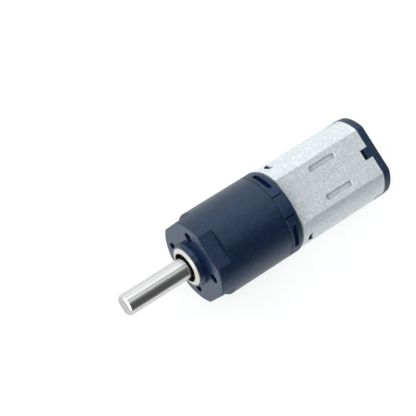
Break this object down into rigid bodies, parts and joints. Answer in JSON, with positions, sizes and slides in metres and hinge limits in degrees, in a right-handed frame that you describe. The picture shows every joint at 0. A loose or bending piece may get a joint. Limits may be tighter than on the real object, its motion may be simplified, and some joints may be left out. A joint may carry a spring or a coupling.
{
  "type": "planetary gearmotor",
  "caption": "Slim brush motor with flatted steel can behind a round plastic planetary gearbox; steel D-cut output shaft, bushed nose, tapped front face, eye terminals at the rear.",
  "frame": {"origin": "on the output shaft's axis at the gearbox's front mounting face", "axes": "+X out along the output shaft, +Z normal to the motor's broad flat, +Y to the left of +X"},
  "size_m": [0.0552, 0.016, 0.016],
  "materials": {
    "housing_plastic": "moulded glass-filled nylon, satin",
    "cover_plastic": "moulded glass-filled nylon, satin",
    "shaft_steel": "ground, lengthwise polish",
    "bush_metal": "turned, bright",
    "can_steel": "galvanised, fine mottle",
    "cap_plastic": "moulded, satin",
    "terminal_tin": "tinned",
    "gear_plastic": "moulded acetal",
    "gear_steel": "sintered, oiled",
    "pinion_brass": "hobbed",
    "washer_steel": "blanked",
    "screw_steel": "zinc plated",
    "bush_bronze": "oil-soaked sintered bronze",
    "magnet_ferrite": "ground ferrite",
    "core_steel": "laminated",
    "insulator_plastic": "moulded",
    "copper": "enamelled copper",
    "spacer_nylon": "moulded",
    "leaf_bronze": "spring temper",
    "carbon": "pressed carbon"
  },
  "bodies": {
    "gearmotor_frame": {"gearbox_housing": "housing_plastic", "output_bush": "bush_metal", "output_washer": "washer_steel", "backing_plate": "washer_steel", "rear_cover": "cover_plastic", "motor_screws": "screw_steel", "motor_can": "can_steel", "front_motor_bush": "bush_bronze", "rear_motor_bush": "bush_bronze", "magnet_left": "magnet_ferrite", "magnet_right": "magnet_ferrite", "end_cap": "cap_plastic", "brush_leaf_left": "leaf_bronze", "brush_leaf_right": "leaf_bronze", "brush_block_left": "carbon", "brush_block_right": "carbon", "terminal_left": "terminal_tin", "terminal_right": "terminal_tin"},
    "output": {"output_shaft": "shaft_steel", "output_carrier": "gear_steel", "output_pins": "screw_steel"},
    "input_carrier_set": {"input_carrier": "gear_plastic", "input_pins": "screw_steel"},
    "rotor": {"motor_shaft": "shaft_steel", "sun_pinion": "pinion_brass", "rotor_spacers": "spacer_nylon", "rotor_core": "core_steel", "rotor_insulators": "insulator_plastic", "rotor_windings": "copper", "commutator_sleeve": "insulator_plastic", "commutator_bars": "copper"},
    "output_planet_1": {"output_planet_1": "gear_steel"},
    "output_planet_2": {"output_planet_2": "gear_steel"},
    "output_planet_3": {"output_planet_3": "gear_steel"},
    "input_planet_1": {"input_planet_1": "gear_plastic"},
    "input_planet_2": {"input_planet_2": "gear_plastic"},
    "input_planet_3": {"input_planet_3": "gear_plastic"}
  },
  "joints": [
    {"name": "output_spin", "type": "hinge", "parent": "gearmotor_frame", "child": "output", "pos_m": [0, 0, 0], "axis": [1, 0, 0], "continuous": true},
    {"name": "input_carrier_spin", "type": "hinge", "parent": "gearmotor_frame", "child": "input_carrier_set", "pos_m": [0, 0, 0], "axis": [1, 0, 0], "continuous": true},
    {"name": "rotor_spin", "type": "hinge", "parent": "gearmotor_frame", "child": "rotor", "pos_m": [0, 0, 0], "axis": [1, 0, 0], "continuous": true},
    {"name": "output_planet_1_spin", "type": "hinge", "parent": "output", "child": "output_planet_1", "pos_m": [0, 0, 0.00405], "axis": [1, 0, 0], "continuous": true},
    {"name": "output_planet_2_spin", "type": "hinge", "parent": "output", "child": "output_planet_2", "pos_m": [0, 0.00351, -0.00202], "axis": [1, 0, 0], "continuous": true},
    {"name": "output_planet_3_spin", "type": "hinge", "parent": "output", "child": "output_planet_3", "pos_m": [0, -0.00351, -0.00202], "axis": [1, 0, 0], "continuous": true},
    {"name": "input_planet_1_spin", "type": "hinge", "parent": "input_carrier_set", "child": "input_planet_1", "pos_m": [0, 0.00351, 0.00202], "axis": [1, 0, 0], "continuous": true},
    {"name": "input_planet_2_spin", "type": "hinge", "parent": "input_carrier_set", "child": "input_planet_2", "pos_m": [0, 0, -0.00405], "axis": [1, 0, 0], "continuous": true},
    {"name": "input_planet_3_spin", "type": "hinge", "parent": "input_carrier_set", "child": "input_planet_3", "pos_m": [0, -0.00351, 0.00202], "axis": [1, 0, 0], "continuous": true}
  ],
  "couplings": [
    {"joint": "output_spin", "follows": "rotor_spin", "ratio": 0.049383},
    {"joint": "input_carrier_spin", "follows": "rotor_spin", "ratio": 0.22222},
    {"joint": "output_planet_1_spin", "follows": "rotor_spin", "ratio": -0.13827},
    {"joint": "output_planet_2_spin", "follows": "rotor_spin", "ratio": -0.13827},
    {"joint": "output_planet_3_spin", "follows": "rotor_spin", "ratio": -0.13827},
    {"joint": "input_planet_1_spin", "follows": "rotor_spin", "ratio": -0.62222},
    {"joint": "input_planet_2_spin", "follows": "rotor_spin", "ratio": -0.62222},
    {"joint": "input_planet_3_spin", "follows": "rotor_spin", "ratio": -0.62222}
  ]
}
